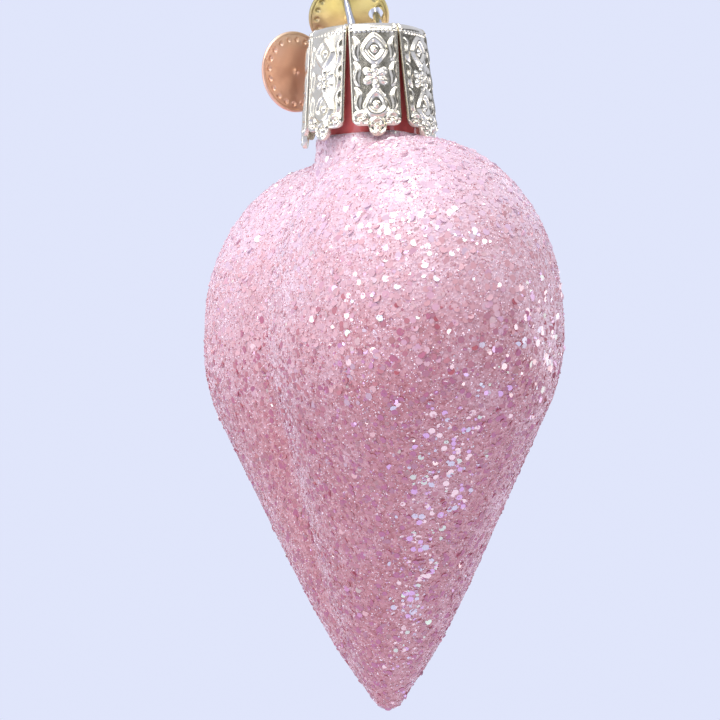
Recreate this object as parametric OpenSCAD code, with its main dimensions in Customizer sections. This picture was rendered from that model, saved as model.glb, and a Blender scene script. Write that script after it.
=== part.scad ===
// Blown-glass heart ornament with a glitter coat, a crown cap, a wire hanger and a medallion tag.
// Millimetres, +Z up. The heart is 53 mm across X and 27 mm thick along Y.
// The origin is the hooking point: the inside of the top of the wire hanger's arch.

/* [Heart] */
// Radius of each lobe, across and up
lobe_r = 17.2; // [14:0.1:19]
// Distance of each lobe's centre from the middle
lobe_x = 9.4; // [7:0.1:11]
// Height of the lobe centres above the tip
lobe_z = 38; // [34:0.1:39]
// Thickness of a lobe, front to back, over its width
lobe_flat = 0.79; // [0.65:0.01:0.9]
// Radius of the rounded tip
tip_r = 1.4; // [1:0.1:3]
// How far the lower sides swell past a straight taper
side_swell = 0.65; // [0:0.05:1]
// Softness of the cleft between the lobes
cleft_blend = 0.8; // [0.4:0.1:3]

/* [Glass] */
// Thickness of the blown glass
glass_wall = 0.9; // [0.7:0.1:1.2]
// Thickness of the glitter coat
coat_t = 0.4; // [0.2:0.05:0.6]
// Outer radius of the bare glass neck
neck_r = 5.0; // [4.6:0.1:5.1]
// Height of the neck's rim above the tip
neck_top = 66.5; // [65:0.1:66.5]
// Height at which the glitter coat ends on the neck
coat_top = 56.4; // [56.2:0.1:57]

/* [Crown cap] */
// Number of petals
petals = 7; // [6:1:8]
// Height of the top of the cap above the heart's tip
cap_top = 67.2; // [67.1:0.1:68]
// Height from the petal tips to the top of the cap
cap_h = 11.4; // [10:0.1:11.5]
// Outer radius at the petal tips
cap_r_bottom = 6.7; // [6.4:0.05:7]
// Outer radius just below the rounded top edge
cap_r_top = 5.85; // [5.7:0.05:6]
// Thickness of the sheet metal
cap_t = 0.35; // [0.25:0.05:0.4]
// Radius of the rounded top edge
cap_edge_r = 0.7; // [0.6:0.1:1.2]
// Width of a slot between two petals at the top, then at the bottom
slot_w_top = 0.2; // [0.1:0.05:0.4]
slot_w_bottom = 1.0; // [0.7:0.05:1.3]

/* [Wire hanger] */
// Radius of the wire
wire_r = 0.4; // [0.3:0.05:0.42]
// Distance of each leg from the middle of the cap
leg_x = 2.2; // [1.8:0.1:2.6]
// Depth that the legs reach below the top of the cap
leg_depth = 13; // [8:0.5:16]
// Distance of each leg's foot from the middle of the neck
foot_x = 3.4; // [2.2:0.1:3.5]
// Angle by which the arch leans back from upright
arch_lean = 45; // [30:1:50]
// Length of the straight stretch of each leg in the arch
arch_leg = 6; // [4:0.5:10]
// Length of the arch's round top
arch_round = 3.2; // [2.2:0.1:4]

/* [Medallion tag] */
// Radius of each disc
disc_r = 4.1; // [3.5:0.1:4.5]
// Thickness of the stamped sheet
tag_t = 0.25; // [0.2:0.05:0.3]
// Radius of the two holes that the legs of the wire go through
tag_hole_r = 0.75; // [0.65:0.05:0.8]
// Angle of the fold between the two discs
tag_fold = 49; // [45:1:55]

/* [Hidden] */

// Heart: rays from one inner point meet its surface once each
inner_z = 36;
ray_longest = 45;
halvings = 15;
sectors = 48;
side_angles = [179, 177.8, 176.5, 174, 169, 163, 156, 148, 140, 131, 122, 114, 106, 98, 90, 82, 74, 66, 59,
    52, 46, 40, 35, 31, 28, 25.5, 23.5, 21.5, 19.5, 18, 16.5, 15.2];
swell_peak = 9.5;
neck_blend = 3;
neck_root_z = 46;
coat_gap = 0.03;

// Cap: the slots and the petals' ends are cut outward through the fold and the skirt
petal_pitch = 360 / petals;
petal_turn = 344.5;
petal_reach = 9;
shoulder_drop = 1.6;
tip_drop = 1.0;
shoulder_w = 1.3;
shoulder_in = 0.6;
leg_hole_gap = 0.08;

// Wire hanger: directions of the two legs and of the lean, and the bends
legs_dir = 118;
lean_dir = 168;
stub_h = 0.45;
splay_depth = 4;
bend_reach = 0.9;
bend_steps = 6;
arch_steps = 18;
wire_sides = 12;

// Tag: how far up the first leg it sits, how its first disc faces, and where that disc's centre lies
tag_up_leg = 5.6;
tag_face_dir = 159;
tag_face_up = 40;
disc_down = 2.73;
disc_aside = -0.44;
bridge_dir = 53;
bridge_w = 1.8;
bridge_half = 0.2;
rim_r = 0.2;

function along(angle) = [cos(angle), sin(angle), 0];
function clamp01(t) = min(1, max(0, t));
function flat(list_of_lists) = [for (part = list_of_lists) for (item = part) item];

lean_vec = sin(arch_lean) * along(lean_dir) + [0, 0, cos(arch_lean)];
legs_vec = along(legs_dir);
arch_foot = [0, 0, cap_top + stub_h] + arch_leg * lean_vec;
hook = arch_foot + (arch_round - wire_r) * lean_vec;

// The two holes are where the legs pass the first disc's plane
tag_face = cos(tag_face_up) * along(tag_face_dir) + [0, 0, sin(tag_face_up)];
tag_down = sin(tag_face_up) * along(tag_face_dir) - [0, 0, cos(tag_face_up)];
tag_aside = cross(tag_face, tag_down);
leg_base = leg_x * legs_vec + [0, 0, cap_top + stub_h];
near_hole = leg_base - 2 * leg_x * legs_vec + tag_up_leg * lean_vec;
far_hole = leg_base + lean_vec * (tag_face * (near_hole - leg_base)) / (tag_face * lean_vec);
hole_step = [tag_down * (far_hole - near_hole), tag_aside * (far_hole - near_hole)];

// Smooth union of two distances over a blend width
function blend(a, b, width) =
    let (overlap = max(width - abs(a - b), 0) / width)
    min(a, b) - overlap * overlap * width / 4;

// Distance to one lobe: a cone with a small round tip and a large, flattened round top
function lobe_distance(p, side) =
    let (
        squash = 1 - (1 - lobe_flat) * clamp01((p.z - tip_r) / (lobe_z - tip_r)),
        q = [p.x, p.y / squash, p.z - tip_r],
        axis = [side * lobe_x, 0, lobe_z - tip_r],
        length = norm(axis),
        up = axis / length,
        height = q * up,
        off_axis = norm(q - height * up),
        slope = (lobe_r - tip_r) / length,
        u = clamp01((height + off_axis * slope / sqrt(1 - slope * slope)) / length),
        radius = tip_r + (lobe_r - tip_r) * u + side_swell * swell_peak * u * pow(1 - u, 3)
    )
    norm(q - u * axis) - radius;

// Distance to the whole outer surface: both lobes, blended, then the neck, blended in a flare
function heart_distance(p) =
    let (
        lobes = blend(lobe_distance(p, 1), lobe_distance(p, -1), cleft_blend),
        neck = max(norm([p.x, p.y]) - neck_r - coat_t, neck_root_z - p.z)
    )
    blend(lobes, neck, neck_blend);

// Length along a ray at which the surface, sunk by a depth, is reached
function reach(from, dir, depth, low, high, left) =
    let (middle = (low + high) / 2)
    left == 0 ? middle :
    heart_distance(from + middle * dir) + depth < 0
        ? reach(from, dir, depth, middle, high, left - 1)
        : reach(from, dir, depth, low, middle, left - 1);

function surface_point(from, dir, depth) =
    from + dir * reach(from, dir, depth, 0, ray_longest, halvings);

// A ring of surface points on a cone of rays, and a level ring round the neck
function cone_ring(angle, depth) = [for (i = [0 : sectors - 1])
    surface_point([0, 0, inner_z], sin(angle) * along(360 * i / sectors) + [0, 0, cos(angle)], depth)];
function level_ring(z, depth) = [for (i = [0 : sectors - 1])
    (neck_r + coat_t - depth) * along(360 * i / sectors) + [0, 0, z]];

// One wall of the shell, from the tip up to the neck
function wall_rings(depth, levels) = concat(
    [for (angle = side_angles) cone_ring(angle, depth)],
    [for (z = levels) level_ring(z, depth)]);

function band_faces(ring, count) = flat([for (i = [0 : count - 1])
    let (j = (i + 1) % count, a = ring * count + i, b = ring * count + j)
    [[a, b + count, b], [a, a + count, b + count]]]);

// A closed shell between two depths: down the outer wall's rings, over the rim and back inside
module heart_shell(outer, inner, levels) {
    outside = wall_rings(outer, levels);
    inside = wall_rings(inner, levels);
    rings = len(outside);
    walls = concat([for (i = [0 : rings - 1]) outside[i]], [for (i = [rings - 1 : -1 : 0]) inside[i]]);
    tips = [surface_point([0, 0, inner_z], [0, 0, -1], outer),
        surface_point([0, 0, inner_z], [0, 0, -1], inner)];
    first_tip = 2 * rings * sectors;
    last_ring = (2 * rings - 1) * sectors;
    polyhedron(
        points = concat(flat(walls), tips),
        faces = concat(
            flat([for (ring = [0 : 2 * rings - 2]) band_faces(ring, sectors)]),
            [for (i = [0 : sectors - 1]) [first_tip, i, (i + 1) % sectors]],
            [for (i = [0 : sectors - 1])
                [first_tip + 1, last_ring + (i + 1) % sectors, last_ring + i]]));
}

// The part's frame has its origin at the hooking point
module in_frame() translate(-hook) children();

module glass_heart() {
    color("firebrick") in_frame()
        heart_shell(coat_t, coat_t + glass_wall, [58, 62, neck_top]);
}

module glitter_coat() {
    color("pink") in_frame()
        heart_shell(0, coat_t - coat_gap, [coat_top]);
}

// Profile of the solid cap, shrunk by an inset: flared skirt, rounded edge and flat top
module cap_profile(inset) {
    edge_x = cap_r_top - cap_edge_r;
    difference() {
        union() {
            polygon([[0, -cap_h], [cap_r_bottom - inset, -cap_h], [cap_r_top - inset, -cap_edge_r],
                [edge_x, -cap_edge_r], [edge_x, -inset], [0, -inset]]);
            translate([edge_x, -cap_edge_r]) circle(r = cap_edge_r - inset, $fn = 48);
        }
        translate([-1, -cap_h - 1]) square([1, cap_h + 2]);
    }
}

// What a slot removes, seen from outside: a narrow cut through the fold, then a wedge that flares
// where the petals' shoulders round off
module slot_outline() {
    shoulder_z = shoulder_drop - cap_h;
    polygon([[-slot_w_top / 2, 1], [-slot_w_top / 2, -cap_edge_r], [-slot_w_bottom / 2, shoulder_z],
        [-shoulder_w, tip_drop - cap_h], [-shoulder_w - shoulder_in, -cap_h - 1],
        [shoulder_w + shoulder_in, -cap_h - 1], [shoulder_w, tip_drop - cap_h],
        [slot_w_bottom / 2, shoulder_z], [slot_w_top / 2, -cap_edge_r], [slot_w_top / 2, 1]]);
}

// An outline cut outward through the fold and the skirt, in the direction of an angle
module cut_outward(angle) {
    rotate(angle) rotate([90, 0, 90]) translate([0, 0, cap_r_top - cap_edge_r])
        linear_extrude(petal_reach) children();
}

module crown_cap() {
    color("wheat") in_frame() translate([0, 0, cap_top]) difference() {
        rotate_extrude($fn = 96) difference() {
            cap_profile(0);
            cap_profile(cap_t);
        }
        for (i = [0 : petals - 1])
            cut_outward(petal_turn + (i + 0.5) * petal_pitch) slot_outline();
        for (side = [-1, 1])
            translate(side * leg_x * legs_vec)
                translate([0, 0, -1]) cylinder(h = 2, r = wire_r + leg_hole_gap, $fn = 32);
    }
}

// Points on the round of a bend at a corner between two straight stretches
function bend_points(before, corner, after) =
    let (
        start = corner + bend_reach * (before - corner) / norm(before - corner),
        end = corner + bend_reach * (after - corner) / norm(after - corner)
    )
    [for (i = [0 : bend_steps])
        let (t = i / bend_steps)
        (1 - t) * (1 - t) * start + 2 * t * (1 - t) * corner + t * t * end];

// One leg, from its foot inside the neck up to the foot of the arch
function leg_path(side) =
    let (
        foot = side * foot_x * legs_vec + [0, 0, cap_top - leg_depth],
        knee = side * leg_x * legs_vec + [0, 0, cap_top - splay_depth],
        collar = side * leg_x * legs_vec + [0, 0, cap_top + stub_h],
        shoulder = side * leg_x * legs_vec + arch_foot
    )
    concat([foot], bend_points(foot, knee, collar), bend_points(knee, collar, shoulder), [shoulder]);

function reversed(list) = [for (i = [len(list) - 1 : -1 : 0]) list[i]];

// The whole wire: up one leg, over the arch and down the other
wire_path = concat(
    leg_path(1),
    [for (i = [1 : arch_steps - 1])
        let (angle = 180 * i / arch_steps)
        arch_foot + leg_x * cos(angle) * legs_vec + arch_round * sin(angle) * lean_vec],
    reversed(leg_path(-1)));

// A round tube along a path; its cross-sections keep one fixed sideways direction, so it can't twist
module tube(path, radius, sides) {
    count = len(path);
    flat_normal = cross(legs_vec, lean_vec);
    rings = [for (i = [0 : count - 1])
        let (
            ahead = path[min(i + 1, count - 1)] - path[max(i - 1, 0)],
            way = ahead / norm(ahead),
            side_raw = cross(flat_normal, way),
            side = side_raw / norm(side_raw),
            over = cross(way, side)
        )
        [for (k = [0 : sides - 1])
            path[i] + radius * (cos(360 * k / sides) * side + sin(360 * k / sides) * over)]];
    polyhedron(
        points = concat(flat(rings), [path[0], path[count - 1]]),
        faces = concat(
            flat([for (ring = [0 : count - 2]) band_faces(ring, sides)]),
            [for (k = [0 : sides - 1]) [count * sides, k, (k + 1) % sides]],
            [for (k = [0 : sides - 1])
                [count * sides + 1, (count - 1) * sides + (k + 1) % sides, (count - 1) * sides + k]]));
}

module wire_hanger() {
    color("silver") in_frame() tube(wire_path, wire_r, wire_sides);
}

// A stamped disc with a rolled rim, lying in the XY plane
module medallion() {
    translate([0, 0, -tag_t / 2]) cylinder(h = tag_t, r = disc_r - rim_r, $fn = 64);
    rotate_extrude($fn = 64) translate([disc_r - rim_r, 0]) circle(r = rim_r, $fn = 24);
}

// Half of the bridge between the discs, from a disc's rim to the fold
module bridge() {
    translate([disc_r - 2 * rim_r, -bridge_w / 2, -tag_t / 2])
        cube([bridge_half + 2 * rim_r, bridge_w, tag_t]);
}

module medallion_tag() {
    fold_x = disc_r + bridge_half;
    color("goldenrod") in_frame() translate(near_hole) rotate([0, 90 - tag_face_up, tag_face_dir])
        difference() {
            translate([disc_down, disc_aside, 0]) rotate(bridge_dir) {
                medallion();
                bridge();
                translate([fold_x, bridge_w / 2, 0]) rotate([90, 0, 0])
                    cylinder(h = bridge_w, r = tag_t / 2, $fn = 24);
                translate([fold_x, 0, 0]) rotate([0, tag_fold, 0]) translate([fold_x, 0, 0])
                    rotate(180) {
                        medallion();
                        bridge();
                    }
            }
            for (hole = [[0, 0], hole_step])
                translate([hole.x, hole.y, -1]) cylinder(h = 2, r = tag_hole_r, $fn = 32);
        }
}

glass_heart();
glitter_coat();
crown_cap();
wire_hanger();
medallion_tag();
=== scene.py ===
import math
import bpy
import numpy as np
from mathutils import Matrix, Vector, kdtree


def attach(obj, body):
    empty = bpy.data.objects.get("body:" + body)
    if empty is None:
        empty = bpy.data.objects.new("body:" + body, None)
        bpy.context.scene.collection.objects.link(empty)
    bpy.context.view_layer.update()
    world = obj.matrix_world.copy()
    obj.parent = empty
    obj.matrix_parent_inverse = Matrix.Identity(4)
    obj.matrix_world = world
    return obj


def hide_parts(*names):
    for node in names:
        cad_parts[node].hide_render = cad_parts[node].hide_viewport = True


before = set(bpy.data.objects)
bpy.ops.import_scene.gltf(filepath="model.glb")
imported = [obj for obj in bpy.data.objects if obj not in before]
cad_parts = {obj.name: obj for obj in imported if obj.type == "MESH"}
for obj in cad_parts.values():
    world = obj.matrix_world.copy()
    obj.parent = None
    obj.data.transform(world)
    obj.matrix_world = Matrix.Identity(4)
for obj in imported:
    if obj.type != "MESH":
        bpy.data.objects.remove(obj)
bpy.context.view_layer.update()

# ---------------------------------------------------------------- shared sizes, as in the CAD
# All are in mm and degrees. Heights are above the heart's tip; the part's own origin is the hooking
# point, HOOK.
LOBE_R, LOBE_X, LOBE_Z, LOBE_FLAT, TIP_R, SIDE_SWELL, CLEFT = 17.2, 9.4, 38.0, 0.79, 1.4, 0.65, 0.8
GLASS_WALL, COAT_T, NECK_R, NECK_TOP, COAT_TOP = 0.9, 0.4, 5.0, 66.5, 56.4
INNER_Z, SWELL_PEAK, NECK_BLEND, NECK_ROOT_Z, COAT_GAP = 36.0, 9.5, 3.0, 46.0, 0.03
PETALS, CAP_TOP, CAP_H, CAP_R_LOW, CAP_R_HIGH, CAP_T, CAP_EDGE = 7, 67.2, 11.4, 6.7, 5.85, 0.35, 0.7
PETAL_TURN, LEG_HOLE_R = 344.5, 0.48
WIRE_R, LEG_X, LEG_DEPTH, FOOT_X, ARCH_LEG, ARCH_ROUND = 0.4, 2.2, 13.0, 3.4, 6.0, 3.2
LEG_DIR, ARCH_DIR, ARCH_LEAN = 118, 168, 45
STUB_H, SPLAY_DEPTH, BEND = 0.45, 4.0, 0.9
DISC_R, TAG_T, HOLE_R, TAG_FOLD, RIM_R = 4.1, 0.25, 0.75, 49.0, 0.2
TAG_UP_LEG, TAG_DIR, TAG_UP, DISC_DOWN, DISC_ASIDE = 5.6, 159.0, 40.0, 2.73, -0.44
BRIDGE_DIR, BRIDGE_W, BRIDGE_HALF = 53.0, 1.8, 0.2


def along(deg):
    a = math.radians(deg)
    return np.array([math.cos(a), math.sin(a), 0.0])


UP = np.array([0.0, 0.0, 1.0])
LEGS = along(LEG_DIR)
LEAN = math.sin(math.radians(ARCH_LEAN)) * along(ARCH_DIR) + math.cos(math.radians(ARCH_LEAN)) * UP
COLLAR_Z = CAP_TOP + STUB_H
HOOK = COLLAR_Z * UP + (ARCH_LEG + ARCH_ROUND - WIRE_R) * LEAN


def to_scene(points):
    return (np.asarray(points, float) - HOOK) * 0.001


# ---------------------------------------------------------------- mesh helpers
def mesh_from(name, points, polygons, smooth=True, slots=None):
    """points in mm above the tip; polygons is a list of arrays, one polygon a row."""
    polygons = [np.asarray(p, int) for p in polygons if len(p)]
    mesh = bpy.data.meshes.new(name)
    sizes = np.concatenate([np.full(len(p), p.shape[1]) for p in polygons])
    loops = np.concatenate([p.ravel() for p in polygons])
    mesh.vertices.add(len(points))
    mesh.vertices.foreach_set("co", to_scene(points).astype(np.float32).ravel())
    mesh.loops.add(len(loops))
    mesh.loops.foreach_set("vertex_index", loops.astype(np.int32))
    mesh.polygons.add(len(sizes))
    mesh.polygons.foreach_set("loop_start", (np.cumsum(sizes) - sizes).astype(np.int32))
    mesh.update(calc_edges=True)
    mesh.polygons.foreach_set("use_smooth", np.full(len(sizes), smooth))
    if slots is not None:
        mesh.polygons.foreach_set("material_index", np.asarray(slots, np.int32))
    mesh.validate()
    return mesh


def placed(name, data):
    obj = bpy.data.objects.new(name, data)
    bpy.context.scene.collection.objects.link(obj)
    return obj


def piece(name, mesh, materials, body):
    obj = placed(name, mesh)
    for one in materials:
        mesh.materials.append(one)
    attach(obj, body)
    return obj


def sharpen(mesh, degrees):
    mesh.set_sharp_from_angle(angle=math.radians(degrees))


def ring_faces(rows, columns, first=0, closed=True, flip=False):
    """Quads between successive rows of a grid of points."""
    r, c = np.meshgrid(np.arange(rows - 1), np.arange(columns if closed else columns - 1), indexing="ij")
    a = first + r * columns + c
    b = first + r * columns + (c + 1) % columns
    quads = np.stack([a, b, b + columns, a + columns], -1).reshape(-1, 4)
    return quads[:, ::-1] if flip else quads


def end_faces(rows, columns):
    """The two polygons that close a grid of closed rows at its ends."""
    k = np.arange(columns)
    return [k[None, ::-1], ((rows - 1) * columns + k)[None]]


def cut(obj, cutter_mesh):
    """Takes a closed cutter away from an object, and keeps the result as its plain mesh."""
    cutter = placed("cutter", cutter_mesh)
    modifier = obj.modifiers.new("cut", "BOOLEAN")
    modifier.operation, modifier.solver, modifier.object = "DIFFERENCE", "EXACT", cutter
    bpy.context.view_layer.update()
    result = bpy.data.meshes.new_from_object(obj.evaluated_get(bpy.context.evaluated_depsgraph_get()))
    obj.modifiers.clear()
    obj.data = result
    bpy.data.objects.remove(cutter)


def join_into(target, *others):
    with bpy.context.temp_override(active_object=target, selected_editable_objects=[target, *others]):
        bpy.ops.object.join()


# ---------------------------------------------------------------- material helpers
# most of a noise texture's values, and of a cell texture's, lie between these
NOISE_ENDS, CELL_ENDS = (0.3, 0.7), (0.1, 0.9)


def material(name, **sockets):
    m = bpy.data.materials.new(name)
    m.use_nodes = True
    shader = m.node_tree.nodes["Principled BSDF"]
    for key, value in sockets.items():
        shader.inputs[key.replace("_", " ")].default_value = value
    return m, m.node_tree.nodes, m.node_tree.links, shader


def node(nodes, kind, **settings):
    n = nodes.new(kind)
    for key, value in settings.items():
        if key in n.inputs.keys():
            n.inputs[key].default_value = value
        else:
            setattr(n, key, value)
    return n


def noise(nodes, links, scale, detail=2.0, stretch=(1, 1, 1)):
    """Noise in the part's own metres."""
    place = nodes.new("ShaderNodeTexCoord")
    mapping = nodes.new("ShaderNodeMapping")
    mapping.inputs["Scale"].default_value = stretch
    n = node(nodes, "ShaderNodeTexNoise", Scale=scale, Detail=detail)
    links.new(place.outputs["Object"], mapping.inputs["Vector"])
    links.new(mapping.outputs["Vector"], n.inputs["Vector"])
    return n


def ramp(nodes, links, source, low, high, ends=NOISE_ENDS):
    """From a low colour to a high one as the source runs between two ends."""
    r = nodes.new("ShaderNodeValToRGB")
    for element, place, colour in zip(r.color_ramp.elements, ends, (low, high)):
        element.position, element.color = place, (*colour, 1.0)
    links.new(source, r.inputs["Fac"])
    return r.outputs["Color"]


def to_range(nodes, links, source, low, high):
    """Noise brought to the range from low to high."""
    m = node(nodes, "ShaderNodeMapRange")
    m.inputs["From Min"].default_value, m.inputs["From Max"].default_value = NOISE_ENDS
    m.inputs["To Min"].default_value, m.inputs["To Max"].default_value = low, high
    links.new(source, m.inputs["Value"])
    return m.outputs["Result"]


def height_part(nodes, links, low, high):
    """0 at one height and 1 at another, both in the part's own metres."""
    place = nodes.new("ShaderNodeTexCoord")
    split = nodes.new("ShaderNodeSeparateXYZ")
    links.new(place.outputs["Object"], split.inputs["Vector"])
    height = node(nodes, "ShaderNodeMapRange")
    height.inputs["From Min"].default_value, height.inputs["From Max"].default_value = low, high
    links.new(split.outputs["Z"], height.inputs["Value"])
    return height.outputs["Result"]


def mixed(nodes, links, factor, low, high):
    mix = node(nodes, "ShaderNodeMix", data_type="RGBA")
    links.new(factor, mix.inputs["Factor"])
    links.new(low, mix.inputs["A"])
    links.new(high, mix.inputs["B"])
    return mix.outputs["Result"]


def bumped(nodes, links, shader, source, distance, strength=1.0):
    b = node(nodes, "ShaderNodeBump", Distance=distance, Strength=strength)
    links.new(source, b.inputs["Height"])
    links.new(b.outputs["Normal"], shader.inputs["Normal"])


# ---------------------------------------------------------------- the heart's surface
# the longest ray from INNER_Z, how often it is halved to find the surface, and the step for a normal, in mm
LONGEST_RAY, HALVINGS, NORMAL_STEP = 45.0, 26, 0.02
# the rings of a shell: degrees from straight up of the lowest and the highest, and how they crowd at the tip
LOWEST_RING, HIGHEST_RING, CROWDING = 179.4, 15.2, 1.15


def blend(a, b, width):
    overlap = np.maximum(width - np.abs(a - b), 0) / width
    return np.minimum(a, b) - overlap * overlap * width / 4


def lobe_distance(p, side):
    squash = 1 - (1 - LOBE_FLAT) * np.clip((p[..., 2] - TIP_R) / (LOBE_Z - TIP_R), 0, 1)
    q = np.stack([p[..., 0], p[..., 1] / squash, p[..., 2] - TIP_R], -1)
    axis = np.array([side * LOBE_X, 0, LOBE_Z - TIP_R])
    length = np.linalg.norm(axis)
    height = q @ (axis / length)
    off_axis = np.linalg.norm(q - height[..., None] * axis / length, axis=-1)
    slope = (LOBE_R - TIP_R) / length
    u = np.clip((height + off_axis * slope / math.sqrt(1 - slope * slope)) / length, 0, 1)
    radius = TIP_R + (LOBE_R - TIP_R) * u + SIDE_SWELL * SWELL_PEAK * u * (1 - u) ** 3
    return np.linalg.norm(q - u[..., None] * axis, axis=-1) - radius


def heart_distance(p):
    lobes = blend(lobe_distance(p, 1), lobe_distance(p, -1), CLEFT)
    neck = np.maximum(np.hypot(p[..., 0], p[..., 1]) - NECK_R - COAT_T, NECK_ROOT_Z - p[..., 2])
    return blend(lobes, neck, NECK_BLEND)


def surface(directions, depth):
    """Where rays from inside the heart meet its surface sunk by a depth."""
    low, high = np.zeros(directions.shape[:-1]), np.full(directions.shape[:-1], LONGEST_RAY)
    start = INNER_Z * UP
    for _ in range(HALVINGS):
        middle = (low + high) / 2
        inside = heart_distance(start + middle[..., None] * directions) + depth < 0
        low, high = np.where(inside, middle, low), np.where(inside, high, middle)
    return start + low[..., None] * directions


def normals_at(points):
    steps = NORMAL_STEP * np.eye(3)
    n = np.stack([heart_distance(points + step) - heart_distance(points - step) for step in steps], -1)
    return n / np.linalg.norm(n, axis=-1, keepdims=True)


def wall(depth, levels, sectors, rings):
    """Rings of surface points from near the tip up to the neck, then level rings round the neck."""
    share = np.linspace(0, 1, rings) ** np.linspace(CROWDING, 1, rings)
    angle = np.radians(LOWEST_RING - (LOWEST_RING - HIGHEST_RING) * share)
    turn = np.linspace(0, 2 * np.pi, sectors, endpoint=False)
    a, t = np.meshgrid(angle, turn, indexing="ij")
    directions = np.stack([np.sin(a) * np.cos(t), np.sin(a) * np.sin(t), np.cos(a)], -1)
    rows = list(surface(directions, depth))
    r = NECK_R + COAT_T - depth
    rows += [np.stack([r * np.cos(turn), r * np.sin(turn), np.full(sectors, z)], -1) for z in levels]
    return rows


def shell_mesh(name, outer, inner, levels, sectors, rings):
    """A closed shell between two depths under the heart's surface, open at the top of the neck."""
    outside, inside = wall(outer, levels, sectors, rings), wall(inner, levels, sectors, rings)
    rows = outside + inside[::-1]
    points = np.concatenate(rows)
    tips = [surface(np.array([[0.0, 0.0, -1.0]]), depth) for depth in (outer, inner)]
    first, last = len(points), (len(rows) - 1) * sectors
    points = np.concatenate([points, *tips])
    i = np.arange(sectors)
    j = (i + 1) % sectors
    fans = [np.stack([np.full(sectors, first), j, i], -1),
            np.stack([np.full(sectors, first + 1), last + i, last + j], -1)]
    return mesh_from(name, points, [ring_faces(len(rows), sectors)] + fans)


# ---------------------------------------------------------------- materials
# the heights between which the pink turns from deep to pale: painted shade towards the tip, painted light on
# the shoulders where the light from above falls
PAINTED_LIGHT_FROM, PAINTED_LIGHT_TO = 26.0, 53.0
SHEEN_TINT = (1.0, 0.93, 0.97, 1.0)


def glass_material():
    m, nodes, links, shader = material("red_glass", Roughness=0.06, IOR=1.52, Coat_Weight=1.0,
                                       Coat_Roughness=0.03)
    n = noise(nodes, links, 260, 3)
    tone = ramp(nodes, links, n.outputs["Fac"], (0.50, 0.08, 0.08), (0.72, 0.18, 0.17))
    links.new(tone, shader.inputs["Base Color"])
    return m


def coat_material():
    """Fine cells of pink, worn in patches, deeper towards the tip and paler on the shoulders: painted shade
    low down and painted light up high.
    """
    m, nodes, links, shader = material("pink_coat", IOR=1.8, Sheen_Weight=0.7, Sheen_Roughness=0.5)
    shader.inputs["Sheen Tint"].default_value = SHEEN_TINT
    place = nodes.new("ShaderNodeTexCoord")
    cells = node(nodes, "ShaderNodeTexVoronoi", Scale=3400.0)
    links.new(place.outputs["Object"], cells.inputs["Vector"])
    # the height mask: painted shade at the tip turning to painted light on the shoulders
    height = height_part(nodes, links, (PAINTED_LIGHT_FROM - HOOK[2]) * 0.001, (PAINTED_LIGHT_TO - HOOK[2]) * 0.001)
    low = ramp(nodes, links, cells.outputs["Color"], (0.30, 0.045, 0.052), (0.49, 0.18, 0.195), CELL_ENDS)
    high = ramp(nodes, links, cells.outputs["Color"], (0.56, 0.34, 0.39), (0.70, 0.53, 0.58), CELL_ENDS)
    patches = noise(nodes, links, 170, 3)
    shift = node(nodes, "ShaderNodeMath", operation="ADD")
    links.new(height, shift.inputs[0])
    links.new(to_range(nodes, links, patches.outputs["Fac"], -0.25, 0.25), shift.inputs[1])
    links.new(mixed(nodes, links, shift.outputs["Value"], low, high), shader.inputs["Base Color"])
    fine = noise(nodes, links, 3200, 2)
    links.new(to_range(nodes, links, fine.outputs["Fac"], 0.42, 0.62), shader.inputs["Roughness"])
    bumped(nodes, links, shader, cells.outputs["Distance"], 0.00012, 0.6)
    return m


def grain_material(name, colour, roughness):
    m, _, _, shader = material(name, Roughness=roughness, IOR=2.0, Sheen_Weight=0.5, Sheen_Roughness=0.5)
    shader.inputs["Base Color"].default_value = (*colour, 1.0)
    shader.inputs["Sheen Tint"].default_value = SHEEN_TINT
    return m


def flake_material(name, body, tint):
    """A film flake: a pink body under a strong tinted reflection."""
    m, _, _, shader = material(name, Roughness=0.07, IOR=2.25)
    shader.inputs["Base Color"].default_value = (*body, 1.0)
    shader.inputs["Specular Tint"].default_value = (*tint, 1.0)
    return m


def metal_material(name, dark, light, rough_low, rough_high, grain, stretch=(1, 1, 1), depth=0.000004):
    m, nodes, links, shader = material(name, Metallic=1.0)
    tone = noise(nodes, links, grain, 4, stretch)
    rub = noise(nodes, links, grain * 6, 3, stretch)
    links.new(ramp(nodes, links, tone.outputs["Fac"], dark, light), shader.inputs["Base Color"])
    links.new(to_range(nodes, links, rub.outputs["Fac"], rough_low, rough_high), shader.inputs["Roughness"])
    bumped(nodes, links, shader, rub.outputs["Fac"], depth)
    return m


# ---------------------------------------------------------------- glass and coat
NECK_LEVELS = [57, 59, 62, 65, NECK_TOP - 0.15, NECK_TOP]
glass_shell = shell_mesh("glass_heart_blown", COAT_T, COAT_T + GLASS_WALL, NECK_LEVELS, sectors=160, rings=90)
glass = piece("glass_heart_blown", glass_shell, [glass_material()], "heart")
sharpen(glass.data, 50)
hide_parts("glass_heart")

coat_shell = shell_mesh("glitter_coat_base", 0, COAT_T - COAT_GAP, [COAT_TOP], sectors=300, rings=140)
coat = piece("glitter_coat_base", coat_shell, [coat_material()], "heart")
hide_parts("glitter_coat")


EDGE_CLEAR = 0.15  # the coat's top edge stays free of flakes and granules by this much
# a tilt is its spread in degrees times a factor from 0.2 to 2.2, and its sideways part ends at TILT_MOST
TILT_LEAST, TILT_RANGE, TILT_MOST = 0.2, 2.0, 0.4
# of a flake: tilt and size at the tip against the shoulders, lift off the coat, more lift the more it
# tilts, thickness, and how uneven the lines are between the three depths of pink, painted shade at the tip to
# painted light on the shoulders
TIP_TILT, TIP_SIZE, FILM_LIFT, TILT_LIFT, FILM_T, TONE_JITTER = 0.72, 0.85, 0.015, 0.2, 0.06, 0.15
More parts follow.
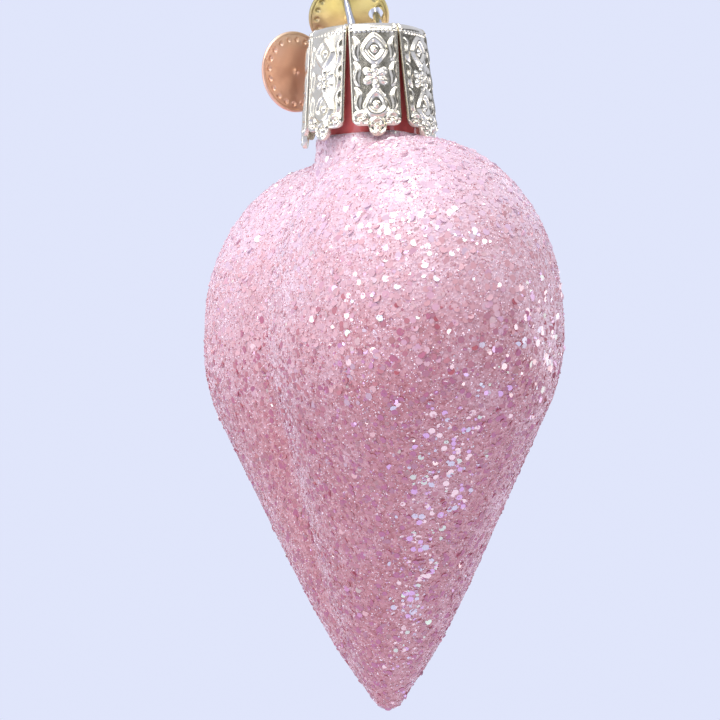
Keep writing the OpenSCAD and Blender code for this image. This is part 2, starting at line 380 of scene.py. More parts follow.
# of a granule: distance from a large flake's middle, spread of tilt, unevenness, and height to its width
GRAIN_CLEAR, GRAIN_TILT, GRAIN_UNEVEN, GRAIN_HEIGHT = 0.3, 35, (0.7, 1.3), 0.8


def scatter(count, rng):
    """Points spread evenly by area over the coat's outside, with their normals."""
    sectors, rings = 200, 160
    grid = np.array(wall(0, [COAT_TOP], sectors, rings))
    a, b = grid[:-1], np.roll(grid, -1, 1)[:-1]
    c, d = np.roll(grid, -1, 1)[1:], grid[1:]
    halves = [np.linalg.norm(np.cross(x, y), axis=-1) for x, y in ((b - a, c - a), (c - a, d - a))]
    area = (halves[0] + halves[1]).ravel()
    chosen = rng.choice(len(area), count, p=area / area.sum())
    u, v = rng.random((2, count, 1))
    a, b, c, d = (x.reshape(-1, 3)[chosen] for x in (a, b, c, d))
    points = (1 - u) * (1 - v) * a + u * (1 - v) * b + u * v * c + (1 - u) * v * d
    normals = normals_at(points)
    points = points - heart_distance(points)[:, None] * normals
    keep = np.abs(points[:, 2] - COAT_TOP) > EDGE_CLEAR
    return points[keep], normals[keep]


def tilted_frames(normals, spread, rng):
    """For each normal: a normal tilted by a random angle, and two directions across it."""
    lean = np.tan(np.radians(spread * (TILT_LEAST + TILT_RANGE * rng.random((len(normals), 1)) ** 2)))
    n = normals + np.clip(lean * rng.normal(size=normals.shape), -TILT_MOST, TILT_MOST)
    n /= np.linalg.norm(n, axis=1, keepdims=True)
    a = np.cross(n, rng.normal(size=n.shape))
    a /= np.linalg.norm(a, axis=1, keepdims=True)
    return n, a, np.cross(n, a)


def pick_slots(heights, low, high, rng):
    """A slot for each granule or flake: the shares run from low at the tip to high on the shoulders."""
    part = np.clip((heights - PAINTED_LIGHT_FROM) / (PAINTED_LIGHT_TO - PAINTED_LIGHT_FROM), 0, 1)[:, None]
    shares = np.cumsum((1 - part) * np.array(low) + part * np.array(high), axis=1)
    return (rng.random((len(heights), 1)) > shares[:, :-1]).sum(1)


def towards_tip(heights, factor):
    """1 on the shoulders, falling to a factor at the tip."""
    return np.interp(heights, [PAINTED_LIGHT_FROM, PAINTED_LIGHT_TO], [factor, 1.0])


def flakes(name, count, size, spread, low, high, seed, sides=6):
    """Round film flakes on the coat, smaller and flatter towards the tip. Gives back where they lie."""
    rng = np.random.default_rng(seed)
    centre, normals = scatter(count, rng)
    count = len(centre)
    n, a, b = tilted_frames(normals, spread * towards_tip(centre[:, 2:], TIP_TILT), rng)
    # the body's depth of pink follows height: painted shade at the tip, painted light on the shoulders
    part = (centre[:, 2] - PAINTED_LIGHT_FROM) / (PAINTED_LIGHT_TO - PAINTED_LIGHT_FROM) + rng.uniform(-TONE_JITTER, TONE_JITTER, count)
    depth = np.clip(np.floor(part * len(FILM_BODIES_SHADED_TO_LIT)), 0, len(FILM_BODIES_SHADED_TO_LIT) - 1).astype(int)
    pick = depth * len(FILM_TINTS) + pick_slots(centre[:, 2], low, high, rng)
    radius = rng.uniform(*size, (count, 1, 1)) * towards_tip(centre[:, 2], TIP_SIZE)[:, None, None]
    tilt = np.linalg.norm(np.cross(n, normals), axis=1)[:, None]
    centre = centre + normals * (FILM_LIFT + TILT_LIFT * radius[:, 0] * tilt)
    angle = np.arange(sides) * 2 * np.pi / sides
    ring = radius * (np.cos(angle)[None, :, None] * a[:, None] + np.sin(angle)[None, :, None] * b[:, None])
    top = centre[:, None] + ring
    under = top - ((FILM_T + radius[:, 0] * tilt) * normals)[:, None]
    points = np.concatenate([top, under], 1).reshape(-1, 3)
    base = np.arange(count)[:, None] * 2 * sides
    k = np.arange(sides)
    kk = (k + 1) % sides
    walls = (base[:, :, None] + np.stack([k, sides + k, sides + kk, kk], -1)[None]).reshape(-1, 4)
    slots = np.concatenate([pick, pick, np.repeat(pick, sides)])
    mesh = mesh_from(name, points, [base + k, base + sides + k[::-1], walls], smooth=False, slots=slots)
    piece(name, mesh, FILMS, "heart")
    return centre


def grains(name, count, size, low, high, seed):
    """Crushed granules: small uneven octahedra half sunk in the coat, clear of the large flakes' middles."""
    rng = np.random.default_rng(seed)
    centre, normals = scatter(count, rng)
    clear = np.array([LARGE.find(Vector(p))[2] > GRAIN_CLEAR for p in centre])
    centre, normals = centre[clear], normals[clear]
    count = len(centre)
    n, a, b = tilted_frames(normals, GRAIN_TILT, rng)
    radius = rng.uniform(*size, (count, 1))
    stretch = rng.uniform(*GRAIN_UNEVEN, (count, 6, 1))
    corners = np.stack([a, b, -a, -b, n * GRAIN_HEIGHT, -n * GRAIN_HEIGHT], 1) * radius[:, None] * stretch
    points = (centre[:, None] + corners).reshape(-1, 3)
    k = np.arange(4)
    kk = (k + 1) % 4
    faces = np.concatenate([np.stack([k, kk, np.full(4, 4)], -1), np.stack([kk, k, np.full(4, 5)], -1)])
    faces = (np.arange(count)[:, None, None] * 6 + faces[None]).reshape(-1, 3)
    slots = np.repeat(pick_slots(centre[:, 2], low, high, rng), 8)
    mesh = mesh_from(name, points, [faces], smooth=False, slots=slots)
    piece(name, mesh, GRAIN_TONES, "heart")


# four tints of film over three depths of pink, the deepest at the tip: painted shade low down, painted light
# on the shoulders
FILM_TINTS = [("white", (1.0, 1.0, 1.0)), ("lilac", (0.60, 0.55, 1.0)), ("mint", (0.50, 1.0, 0.85)),
              ("blue", (0.50, 0.85, 1.0))]
FILM_BODIES_SHADED_TO_LIT = [("deep", (0.41, 0.11, 0.13)), ("middle", (0.61, 0.32, 0.34)), ("pale", (0.63, 0.41, 0.47))]
FILMS = [flake_material(f"film_{depth}_{tint}", body, reflection)
         for depth, body in FILM_BODIES_SHADED_TO_LIT for tint, reflection in FILM_TINTS]
# name, count, radii, spread of tilt, shares of the tints at the tip and on the shoulders, seed
# the tint shares put more lilac film at the tip than on the shoulders: the film's own tints, shifted as a
# painted reflection of the lilac light from below
large = flakes("glitter_flakes_large", 6600, (0.26, 0.42), 11, [0.38, 0.32, 0.10, 0.20],
               [0.74, 0.03, 0.10, 0.13], 31, sides=8)
LARGE = kdtree.KDTree(len(large))
for number, spot in enumerate(large):
    LARGE.insert(Vector(spot), number)
LARGE.balance()
flakes("glitter_flakes_medium", 9500, (0.15, 0.24), 15, [0.30, 0.36, 0.12, 0.22],
       [0.66, 0.06, 0.12, 0.16], 32)
flakes("glitter_flakes_fine", 9500, (0.07, 0.13), 22, [0.36, 0.32, 0.12, 0.20],
       [0.66, 0.08, 0.10, 0.16], 33)

GRAIN_TONES = [grain_material("grain_rose", (0.33, 0.055, 0.068), 0.55),
               grain_material("grain_pink", (0.46, 0.165, 0.185), 0.5),
               grain_material("grain_pale", (0.70, 0.47, 0.52), 0.4),
               grain_material("grain_white", (0.86, 0.70, 0.75), 0.25)]
# the shares run from rose granules at the tip to pale and white ones on the shoulders: painted shade low
# down, painted light up high
for number in range(4):
    grains(f"pink_granules_{number + 1}", 24000, (0.045, 0.10), [0.34, 0.32, 0.22, 0.12],
           [0.08, 0.30, 0.40, 0.22], 11 + number)


# ---------------------------------------------------------------- crown cap
def bump(distance, half_width, height):
    """A raised stroke or bead with soft feet."""
    return height * np.clip(1 - (distance / half_width) ** 2, 0, None) ** 1.5


PETAL_FALL = CAP_H - CAP_EDGE
# half the width of a petal at the fold and low down, where the slots between petals are wider
PETAL_HALF, PETAL_HALF_LOW = math.pi * CAP_R_HIGH / PETALS - 0.1, math.pi * CAP_R_LOW / PETALS - 0.5
PETAL_CORNER, PETAL_TIP_R, SHOULDER_RISE = 0.8, 0.86, 1.05
# the rolled edge of a petal: how far in it runs, its half width and its height
HEM_IN, HEM_HALF, HEM_H = 0.2, 0.22, 0.14
# where the pressed pattern's parts lie, in mm across the petal and below the fold
LOZENGE_V, FLOWER_V, FLOWER_R, DROP_V, DROP_BEAD_V, BALL_V = 2.05, 4.75, 0.8, 7.4, 7.6, 10.25
LEAVES, LEAF_V, LEAF_PITCH, LEAF_HALF, LEAF_S = 3, 1.95, 2.55, 1.2, 1.82
SCROLLS = ((-1.6, 8.9), (1.6, 8.9), (0, 9.5))
BUMP_PITCH, BUMP_V, BUMPS_TO = 0.45, 0.15, 2.2
PETAL_ROWS, PETAL_COLUMNS, FOLD_ROWS = 136, 76, 12


def petal_half_width(v):
    """Half the width of a petal, v mm below the fold."""
    return PETAL_HALF + (PETAL_HALF_LOW - PETAL_HALF) * np.clip(v / PETAL_FALL, 0, 1)


def petal_length(s):
    """How far below the fold a petal's edge lies, s mm from its middle: two shoulders and a round tip."""
    s = np.abs(s)
    over = np.clip((s - (PETAL_HALF_LOW - PETAL_CORNER)) / PETAL_CORNER, 0, 1)
    shoulder = PETAL_FALL - SHOULDER_RISE - PETAL_CORNER + PETAL_CORNER * np.sqrt(1 - over ** 2 * 0.98)
    tip = PETAL_FALL - PETAL_TIP_R + np.sqrt(np.clip(PETAL_TIP_R ** 2 - s ** 2, 0, None))
    return np.maximum(shoulder, np.where(s < PETAL_TIP_R, tip, 0))


def relief(s, v):
    """Height of the pressed pattern, s mm across from the petal's middle and v mm below the fold."""
    edge = petal_half_width(v) - np.abs(s)
    shapes = [bump(np.minimum(edge, petal_length(s) - v) - HEM_IN, HEM_HALF, HEM_H)]
    # a soft lozenge round a bead, a six-petalled flower, and a drop round a bead
    lozenge = (np.abs(s / 1.0) ** 1.35 + np.abs((v - LOZENGE_V) / 1.2) ** 1.35) ** (1 / 1.35)
    shapes.append(bump((lozenge - 1) * 0.8, 0.32, 0.24))
    for k in range(6):
        ux, uy = math.sin(k * math.pi / 3), math.cos(k * math.pi / 3)
        off_s, off_v = s - FLOWER_R * ux, v - FLOWER_V - FLOWER_R * uy
        lengthwise, across = off_s * ux + off_v * uy, off_s * uy - off_v * ux
        shapes.append(bump(np.hypot(lengthwise * 0.65, across), 0.38, 0.25))
    wide = 0.5 + 0.5 * np.clip((v - 6.3) / 1.5, 0, 1)
    shapes.append(bump((np.hypot(s / wide, (v - DROP_V) / 1.1) - 1) * 0.8, 0.34, 0.24))
    shapes += [bump(np.hypot(s, v - middle), 0.38, 0.26) for middle in (LOZENGE_V, FLOWER_V, DROP_BEAD_V)]
    # leaves that lean down both sides, then scrolls and balls at the shoulders and the tip
    for side in (-1, 1):
        for k in range(LEAVES):
            t = (v - LEAF_V - LEAF_PITCH * k) / LEAF_HALF
            taper = np.sqrt(np.clip(1 - t * t, 1e-6, 1))
            middle = side * (LEAF_S - 0.20 * t + 0.16 * np.sin(math.pi * np.clip(t, -1, 1)))
            shapes.append(bump(s - middle, 0.44 * taper, 0.25 * taper) * (np.abs(t) < 1))
    for cx, cy in SCROLLS:
        shapes.append(bump(np.hypot(s - cx, v - cy) - 0.52, 0.28, 0.24) * (v < cy + 0.15))
        shapes.append(bump(np.hypot(s - cx, v - cy - 0.3), 0.40, 0.34))
    shapes.append(bump(np.hypot(s, v - BALL_V), 0.38, 0.30))
    # the row of small bumps under the fold
    off = (s + BUMP_PITCH / 2) % BUMP_PITCH - BUMP_PITCH / 2
    shapes.append(bump(np.hypot(off, v - BUMP_V), 0.22, 0.10) * (np.abs(s) < BUMPS_TO))
    return np.maximum.reduce(np.broadcast_arrays(*shapes))


def petal_points(turn, depth, straight):
    """A grid of points on a petal, sunk by a depth: over the fold, then down to its edge."""
    edge_x = CAP_R_HIGH - CAP_EDGE
    u = np.linspace(-1, 1, PETAL_COLUMNS)[None, :]
    low_half = petal_half_width(PETAL_FALL)
    v = np.linspace(0, 1, straight)[:, None] * petal_length(u * low_half * 0.999)
    s = u * petal_half_width(v)
    pressed = relief(s, v) * np.clip(v / 0.12, 0, 1) if depth == 0 else 0
    r = CAP_R_HIGH + (CAP_R_LOW - CAP_R_HIGH) * v / PETAL_FALL - depth + pressed
    angle = s / (r + depth - pressed)
    z = CAP_TOP - CAP_EDGE - v
    b = np.radians(np.linspace(90, 0, FOLD_ROWS, endpoint=False))[:, None] + 0 * u
    fold = CAP_EDGE - depth
    side_hem = bump(PETAL_HALF * (1 - np.abs(u)) - HEM_IN, HEM_HALF, HEM_H) if depth == 0 else 0
    fold = fold + side_hem * np.cos(b) ** 0.5
    angle = np.concatenate([u * PETAL_HALF / CAP_R_HIGH + 0 * b, angle]) + math.radians(turn)
    r = np.concatenate([edge_x + fold * np.cos(b), r])
    z = np.concatenate([CAP_TOP - CAP_EDGE + fold * np.sin(b), z])
    return np.stack([r * np.cos(angle), r * np.sin(angle), z], -1)


def petal_mesh_parts(turn):
    """One petal as a closed shell: a fine pressed outside, a plain inside, and its edges."""
    outside, inside = petal_points(turn, 0, PETAL_ROWS), petal_points(turn, CAP_T, 2)
    rows, rows_in, columns = len(outside), len(inside), PETAL_COLUMNS
    points = np.concatenate([outside.reshape(-1, 3), inside.reshape(-1, 3)])
    start_in, last, last_in = rows * columns, (rows - 1) * columns, (rows + rows_in - 1) * columns
    c = np.arange(columns - 1)
    quads = [ring_faces(rows, columns, closed=False, flip=True),
             ring_faces(rows_in, columns, start_in, closed=False),
             np.stack([c, c + 1, start_in + c + 1, start_in + c], -1),
             np.stack([last + c + 1, last + c, last_in + c, last_in + c + 1], -1)]
    left = np.concatenate([np.arange(rows) * columns, start_in + np.arange(rows_in)[::-1] * columns])
    return points, np.concatenate(quads), [left[::-1], left + columns - 1]


def turned(profile, steps):
    """A closed profile of (radius, height) turned about the heart's axis, as points and quads."""
    turn = np.linspace(0, 2 * np.pi, steps, endpoint=False)
    profile = np.asarray(profile)
    points = np.stack([profile[:, :1] * np.cos(turn), profile[:, :1] * np.sin(turn),
                       np.repeat(profile[:, 1:], steps, 1)], -1).reshape(-1, 3)
    count = len(profile)
    r, c = np.meshgrid(np.arange(count), np.arange(steps), indexing="ij")
    a, b = r * steps + c, r * steps + (c + 1) % steps
    a2, b2 = (r + 1) % count * steps + c, (r + 1) % count * steps + (c + 1) % steps
    return points, np.stack([a, b, b2, a2], -1).reshape(-1, 4)


PRESS_R, PRESS_DEPTH, PRESS_HALF = 4.0, 0.12, 0.35


def plate_profile():
    """The flat top with a shallow pressed ring, as a closed section."""
    radii = np.concatenate([[0.02, 0.5, 1.0], np.linspace(1.4, CAP_R_HIGH - CAP_EDGE, 18)])
    press = PRESS_DEPTH * np.exp(-((radii - PRESS_R) / PRESS_HALF) ** 2)
    return ([(r, CAP_TOP - p) for r, p in zip(radii, press)]
            + [(r, CAP_TOP - CAP_T - p) for r, p in zip(radii[::-1], press[::-1])])


def pin_mesh(name, centre, direction, radius, half_length, steps=40):
    """A closed round rod, used as a cutter."""
    direction = direction / np.linalg.norm(direction)
    a = np.cross(direction, [0.3, 0.5, 0.81])
    a /= np.linalg.norm(a)
    b = np.cross(direction, a)
    turn = np.linspace(0, 2 * np.pi, steps, endpoint=False)
    ring = radius * (np.cos(turn)[:, None] * a + np.sin(turn)[:, None] * b)
    points = np.concatenate([centre + ring + way * direction for way in (-half_length, half_length)])
    return mesh_from(name, points, [ring_faces(2, steps), *end_faces(2, steps)], smooth=False)


GOLD = metal_material("pale_gold_pressed", (0.70, 0.64, 0.51), (0.84, 0.79, 0.67), 0.20, 0.28, 420,
                      depth=0.000002)
top_points, top_quads = turned(plate_profile(), 168)
cap = piece("crown_cap_pressed", mesh_from("crown_cap_top", top_points, [top_quads[:, ::-1]]), [GOLD],
            "hanger")
for side in (-1, 1):
    cut(cap, pin_mesh("hole", side * LEG_X * LEGS + CAP_TOP * UP, UP, LEG_HOLE_R, 1.0))


def petals_mesh():
    all_points, all_quads, all_sides, first = [], [], [], 0
    for number in range(PETALS):
        points, quads, sides = petal_mesh_parts(PETAL_TURN + number * 360 / PETALS)
        all_points.append(points)
        all_quads.append(quads + first)
        all_sides += [edge[None] + first for edge in sides]
        first += len(points)
    return mesh_from("petals", np.concatenate(all_points), [np.concatenate(all_quads)] + all_sides)


petals = placed("petals", petals_mesh())
petals.data.materials.append(GOLD)
join_into(cap, petals)
sharpen(cap.data, 70)
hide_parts("crown_cap")


# ---------------------------------------------------------------- wire hanger
def bend_points(before, corner, after, steps=14):
    """A soft corner of the wire."""
    start = corner + BEND * (before - corner) / np.linalg.norm(before - corner)
    end = corner + BEND * (after - corner) / np.linalg.norm(after - corner)
    t = np.linspace(0, 1, steps)[:, None]
    return list((1 - t) ** 2 * start + 2 * t * (1 - t) * corner + t * t * end)


def leg_path(side):
    foot = side * FOOT_X * LEGS + (CAP_TOP - LEG_DEPTH) * UP
    knee = side * LEG_X * LEGS + (CAP_TOP - SPLAY_DEPTH) * UP
    collar = side * LEG_X * LEGS + COLLAR_Z * UP
    shoulder = collar + ARCH_LEG * LEAN
    return [foot] + bend_points(foot, knee, collar) + bend_points(knee, collar, shoulder) + [shoulder]


def tube_mesh(name, path, radius, flat_normal, sides=28):
    """A round wire along a path that lies in the plane across flat_normal."""
    path = np.asarray(path)
    way = np.gradient(path, axis=0)
    way /= np.linalg.norm(way, axis=1, keepdims=True)
    across = np.cross(flat_normal, way)
    across /= np.linalg.norm(across, axis=1, keepdims=True)
    over = np.cross(way, across)
    # the cut ends are rounded off by two narrower rings, each with its share of the radius and its place
    ends = [(0.55, -0.10), (0.9, -0.03)]
    centres = ([path[0] + way[0] * place for _, place in ends] + list(path)
               + [path[-1] - way[-1] * place for _, place in ends[::-1]])
    radii = [share for share, _ in ends] + [1.0] * len(path) + [share for share, _ in ends[::-1]]
    across = np.concatenate([across[:1], across[:1], across, across[-1:], across[-1:]])
    over = np.concatenate([over[:1], over[:1], over, over[-1:], over[-1:]])
    turn = np.linspace(0, 2 * np.pi, sides, endpoint=False)
    rings = [c + radius * k * (np.cos(turn)[:, None] * a + np.sin(turn)[:, None] * o)
             for c, k, a, o in zip(centres, radii, across, over)]
    count = len(rings)
    return mesh_from(name, np.concatenate(rings), [ring_faces(count, sides), *end_faces(count, sides)])


arch_foot = COLLAR_Z * UP + ARCH_LEG * LEAN
arch = [arch_foot + LEG_X * math.cos(a) * LEGS + ARCH_ROUND * math.sin(a) * LEAN
        for a in np.linspace(0, math.pi, 49)[1:-1]]
wire_path = leg_path(1) + arch + leg_path(-1)[::-1]
STEEL = metal_material("bright_steel", (0.50, 0.50, 0.51), (0.74, 0.74, 0.76), 0.10, 0.24, 900,
                       stretch=(1, 1, 0.15))
wire_mesh = tube_mesh("wire_hanger_bent", wire_path, WIRE_R, np.cross(LEGS, LEAN))
wire = piece("wire_hanger_bent", wire_mesh, [STEEL], "hanger")
sharpen(wire.data, 50)
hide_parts("wire_hanger")


# ---------------------------------------------------------------- medallion tag
def rotation(axis, degrees):
    return np.array(Matrix.Rotation(math.radians(degrees), 3, axis))


leg_base = LEG_X * LEGS + COLLAR_Z * UP
near_hole = leg_base - 2 * LEG_X * LEGS + TAG_UP_LEG * LEAN
tag_face = math.cos(math.radians(TAG_UP)) * along(TAG_DIR) + math.sin(math.radians(TAG_UP)) * UP
far_hole = leg_base + LEAN * (tag_face @ (near_hole - leg_base)) / (tag_face @ LEAN)
TAG_TURN = rotation("Z", TAG_DIR) @ rotation("Y", 90 - TAG_UP)
DISC_TURN = TAG_TURN @ rotation("Z", BRIDGE_DIR)
DISC_A = near_hole + TAG_TURN @ np.array([DISC_DOWN, DISC_ASIDE, 0])
FOLD_X = DISC_R + BRIDGE_HALF
FOLD_AT = DISC_A + DISC_TURN @ np.array([FOLD_X, 0, 0])
DISC_B_TURN = DISC_TURN @ rotation("Y", TAG_FOLD)
DISC_B = FOLD_AT + DISC_B_TURN @ np.array([FOLD_X, 0, 0])


# the stamped pattern: beads in a ring at a share of the radius, dish, dimple, and a slight unevenness
TAG_BEADS, BEAD_RING, BEAD_HALF, BEAD_H = 20, 0.8, 0.30, 0.17
DISH_REACH, DISH_DEPTH, DIMPLE_R, DIMPLE_DEPTH, WAVE_H = 0.7, 0.07, 0.28, 0.13, 0.010


def disc_relief(r, angle):
    """Stamped pattern: a ring of beads inside the rim, a slight dish and a middle dimple."""
    pitch = 2 * math.pi / TAG_BEADS
    off = (angle + pitch / 2) % pitch - pitch / 2
    bead = bump(np.hypot(r * np.cos(off) - BEAD_RING * DISC_R, r * np.sin(off)), BEAD_HALF, BEAD_H)
    dish = -DISH_DEPTH * np.clip(1 - (r / (DISH_REACH * DISC_R)) ** 2, 0, 1) ** 1.5
    dimple = -DIMPLE_DEPTH * np.exp(-(r / DIMPLE_R) ** 2)
    waves = WAVE_H * np.sin(3 * angle + r) * np.clip(r / DISC_R, 0, 1)
    return bead + dish + dimple + waves


def disc_mesh(name, turn, centre):
    """A disc of stamped sheet: both faces follow the same pattern, and a rolled rim closes it."""
    rows, columns = 64, 192
    r = np.concatenate([[0.01], np.linspace(0.06, DISC_R - RIM_R, rows - 1)])
    angle = np.linspace(0, 2 * np.pi, columns, endpoint=False)
    rr, aa = np.meshgrid(r, angle, indexing="ij")
    height = disc_relief(rr, aa) * np.clip((DISC_R - RIM_R - rr) / 0.15, 0, 1)
    front = np.stack([rr * np.cos(aa), rr * np.sin(aa), height + TAG_T / 2], -1)
    back = front - np.array([0, 0, TAG_T])
    section = np.radians(np.linspace(150, -150, 17))
    rim = [np.stack([(DISC_R - RIM_R + RIM_R * math.cos(b)) * np.cos(angle),
                     (DISC_R - RIM_R + RIM_R * math.cos(b)) * np.sin(angle),
                     np.full(columns, RIM_R * math.sin(b))], -1) for b in section]
    grid = np.concatenate([front[:-1], rim, back[:-1][::-1]])
    points = grid.reshape(-1, 3) @ turn.T + centre
    return mesh_from(name, points, [ring_faces(len(grid), columns), *end_faces(len(grid), columns)])


FOLD_SHARE, WAIST = 0.4, 0.12  # of the bridge's reach taken by the fold's round, of its width lost there


def bridge_mesh(name):
    """The strip between the discs, with a small round at the fold."""
    reach = BRIDGE_HALF + 2 * RIM_R
    way_b = rotation("Y", TAG_FOLD) @ np.array([1.0, 0, 0])
    start, end = np.array([-reach, 0, 0]), reach * way_b
    t = np.linspace(0, 1, 13)[:, None]
    curve = (1 - t) ** 2 * (start * FOLD_SHARE) + t * t * (end * FOLD_SHARE)
    path = np.concatenate([[start], curve, [end]])
    way = np.gradient(path, axis=0)
    way /= np.linalg.norm(way, axis=1, keepdims=True)
    out = np.cross(way, [0, 1.0, 0])
    rings = []
    half = BRIDGE_W / 2
    waist = 1 - WAIST * np.exp(-(np.linspace(-1.6, 1.6, len(path))) ** 2)
    for p, o, w in zip(path, out, waist):
        corners = [(half * w, 0.5), (half * w, -0.5), (-half * w, -0.5), (-half * w, 0.5)]
        rings.append([p + np.array([0, y, 0]) + z * TAG_T * o for y, z in corners])
    local = np.array(rings).reshape(-1, 3)
    points = local @ DISC_TURN.T + FOLD_AT
    return mesh_from(name, points, [ring_faces(len(path), 4), *end_faces(len(path), 4)], smooth=False)


# heights between the painted reflection of the pink heart on the lower disc and the olive gold above
PAINTED_REFLECTION_TO_OLIVE = (-0.0075, -0.0035)  # heights from the hooking point, in metres


def tag_material():
    """Copper-pink at the lower disc, a painted reflection of the pink heart, turning to the tag's own olive
    gold at the upper one.
    """
    m, nodes, links, shader = material("deep_gold_stamped", Metallic=1.0)
    height = height_part(nodes, links, *PAINTED_REFLECTION_TO_OLIVE)
    wear = noise(nodes, links, 260, 3)
    # copper-pink: a painted reflection of the pink heart beside the lower disc
    low = ramp(nodes, links, wear.outputs["Fac"], (0.80, 0.47, 0.33), (0.88, 0.57, 0.43))
    high = ramp(nodes, links, wear.outputs["Fac"], (0.40, 0.33, 0.13), (0.62, 0.54, 0.28))
    links.new(mixed(nodes, links, height, low, high), shader.inputs["Base Color"])
    rub = noise(nodes, links, 1200, 3)
    links.new(to_range(nodes, links, rub.outputs["Fac"], 0.36, 0.46), shader.inputs["Roughness"])
    bumped(nodes, links, shader, rub.outputs["Fac"], 0.0000015)
    return m


DEEP_GOLD = tag_material()
disc_a = disc_mesh("medallion_a", DISC_TURN, DISC_A)
tag = piece("medallion_tag_stamped", disc_a, [DEEP_GOLD], "tag")
for hole in (near_hole, far_hole):
    cut(tag, pin_mesh("hole", hole, tag_face, HOLE_R, 0.9))
others = []
for mesh in (disc_mesh("medallion_b", DISC_B_TURN, DISC_B), bridge_mesh("bridge")):
    mesh.materials.append(DEEP_GOLD)
    others.append(placed(mesh.name, mesh))
join_into(tag, *others)
sharpen(tag.data, 60)
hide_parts("medallion_tag")


# ---------------------------------------------------------------- camera
VIEW_TURN, VIEW_LIFT, VIEW_ROLL = 68, -3.2, -1.89
AIM_Z, AIM_LEFT, LENS, VIEW_DISTANCE = 34.38, 1.72, 133.7, 0.2659


def camera_axes():
    turn, lift, roll = math.radians(VIEW_TURN), math.radians(VIEW_LIFT), math.radians(VIEW_ROLL)
    back = np.array([math.sin(turn) * math.cos(lift), -math.cos(turn) * math.cos(lift), math.sin(lift)])
    right = np.array([math.cos(turn), math.sin(turn), 0])
    up = np.cross(back, right)
    rolled = right * math.cos(roll) + up * math.sin(roll)
    return back, rolled, up * math.cos(roll) - right * math.sin(roll), right


BACK, RIGHT, ABOVE, LEVEL_RIGHT = camera_axes()
AIM = to_scene(np.array([0, 0, AIM_Z]) - AIM_LEFT * LEVEL_RIGHT)
camera = placed("camera", bpy.data.cameras.new("camera"))
camera.data.lens, camera.data.sensor_width = LENS, 36.0
camera.data.clip_start, camera.data.clip_end = 0.01, 20.0
place = AIM + BACK * VIEW_DISTANCE
camera.matrix_world = Matrix([[RIGHT[i], ABOVE[i], BACK[i], place[i]] for i in range(3)] + [[0, 0, 0, 1]])
bpy.context.scene.camera = camera


# ---------------------------------------------------------------- floor, world and lights
def floor_material():
    m, nodes, links, shader = material("pale_floor", Roughness=0.85)
    n = noise(nodes, links, 3, 2)
    tone = ramp(nodes, links, n.outputs["Fac"], (0.72, 0.75, 0.90), (0.78, 0.81, 0.94))
    links.new(tone, shader.inputs["Base Color"])
    return m


FLOOR_R, FLOOR_DROP, FLOOR_T = 1500, 450, 5


def floor_mesh():
    steps = 96
    turn = np.linspace(0, 2 * np.pi, steps, endpoint=False)
    outline = np.stack([FLOOR_R * np.cos(turn), FLOOR_R * np.sin(turn), np.zeros(steps)], -1)
    points = np.concatenate([outline + HOOK - down * UP for down in (FLOOR_DROP, FLOOR_DROP + FLOOR_T)])
    k = np.arange(steps)
    kk = (k + 1) % steps
    edge = np.stack([k, steps + k, steps + kk, kk], -1)
    return mesh_from("floor", points, [k[None], (steps + k)[None, ::-1], edge], smooth=False)


floor = placed("floor", floor_mesh())
floor.data.materials.append(floor_material())

world = bpy.data.worlds.new("studio")
bpy.context.scene.world = world
world.use_nodes = True
world.node_tree.nodes["Background"].inputs["Color"].default_value = (0.745, 0.787, 0.965, 1.0)
world.node_tree.nodes["Background"].inputs["Strength"].default_value = 1.0


def seen_way(direction):
    """A unit direction, from one in the camera's right, up and back."""
    way = direction[0] * RIGHT + direction[1] * ABOVE + direction[2] * BACK
    return way / np.linalg.norm(way)


def area_light(name, direction, distance, size, power, colour=(1, 1, 1)):
    """A soft box that faces the heart."""
    way = seen_way(direction)
    light = placed(name, bpy.data.lights.new(name, "AREA"))
    light.data.shape, light.data.size, light.data.size_y = "RECTANGLE", size[0], size[1]
    light.data.energy, light.data.color = power, colour
    light.location = Vector(AIM + way * distance)
    light.rotation_euler = Vector(-way).to_track_quat("-Z", "Y").to_euler()
    light.visible_camera = False


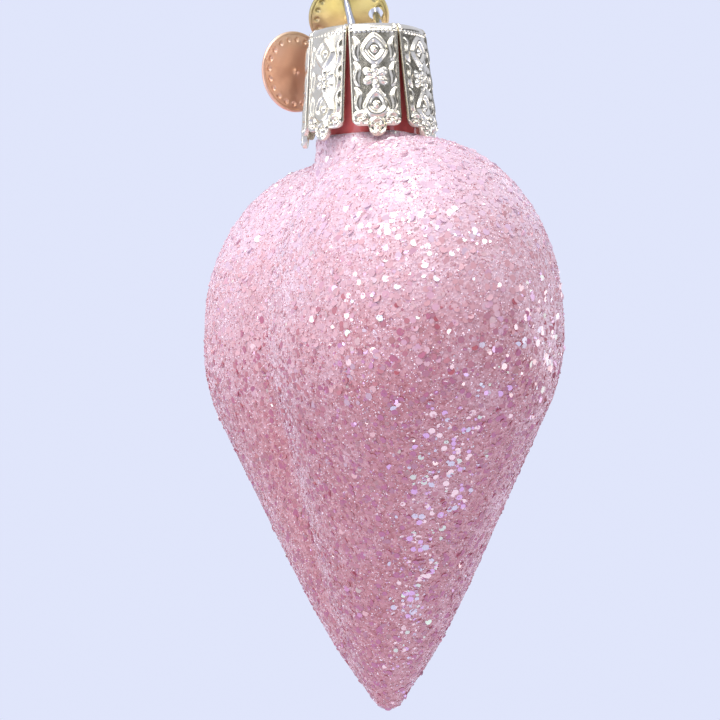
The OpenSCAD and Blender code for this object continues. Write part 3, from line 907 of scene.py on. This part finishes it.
# name, direction in the camera's right, up and back, distance and size in metres, power, colour
area_light("key", (-0.30, 0.87, 0.42), 0.50, (0.31, 0.24), 1.6)
area_light("spark_top", (-0.22, 0.97, -0.02), 0.5, (0.20, 0.16), 0.42)
area_light("spark_front", (-0.12, 0.64, 0.75), 0.5, (0.17, 0.11), 0.26)
area_light("spark_left", (-0.62, 0.62, 0.48), 0.5, (0.17, 0.14), 0.4)
area_light("spark_right", (0.42, 0.70, 0.52), 0.5, (0.19, 0.15), 0.45)
area_light("left_panel", (-0.85, -0.38, 0.38), 0.6, (0.40, 0.30), 0.66, (0.93, 0.95, 1.0))
area_light("left_spark", (-0.94, 0.22, 0.27), 0.5, (0.10, 0.12), 0.14)
area_light("spark_low_right", (0.62, -0.50, 0.52), 0.4, (0.11, 0.10), 0.15)
area_light("spark_low_left", (-0.80, -0.25, 0.55), 0.45, (0.11, 0.10), 0.17)
area_light("low_lilac", (0.25, -0.91, 0.28), 0.3, (0.20, 0.13), 0.25, (0.80, 0.90, 1.0))
area_light("right_fill", (1.0, -0.02, -0.05), 0.6, (0.18, 0.26), 0.45, (1.0, 0.96, 0.97))
area_light("right_rim", (0.85, -0.12, -0.50), 0.6, (0.30, 0.20), 0.5, (1.0, 0.97, 0.98))


CARD_T = 3


def dark_card(name, direction, distance, size):
    """A dark card, half of size in mm each way, that the camera sees only in reflections."""
    way = seen_way(direction)
    a = np.cross(way, UP)
    a /= np.linalg.norm(a)
    b = np.cross(a, way)
    centre = (AIM + way * distance) * 1000 + HOOK
    signs = ((-1, -1), (1, -1), (1, 1), (-1, 1))
    corners = np.array([centre + x * size[0] * a + y * size[1] * b for x, y in signs])
    points = np.concatenate([corners, corners + way * CARD_T])
    mesh = mesh_from(name, points, [np.array([[0, 1, 2, 3], [7, 6, 5, 4], [0, 4, 5, 1], [1, 5, 6, 2],
                                              [2, 6, 7, 3], [3, 7, 4, 0]])], smooth=False)
    card = placed(name, mesh)
    m, nodes, links, shader = material(name, Roughness=0.9)
    n = noise(nodes, links, 2, 1)
    tone = ramp(nodes, links, n.outputs["Fac"], (0.035, 0.034, 0.028), (0.06, 0.058, 0.048))
    links.new(tone, shader.inputs["Base Color"])
    mesh.materials.append(m)
    card.visible_camera = False


dark_card("front_card", (0.20, 0.40, 1.0), 0.6, (400, 150))
dark_card("right_card", (1.0, 0.38, -0.12), 0.7, (450, 120))

bpy.context.scene.view_settings.view_transform = "Standard"
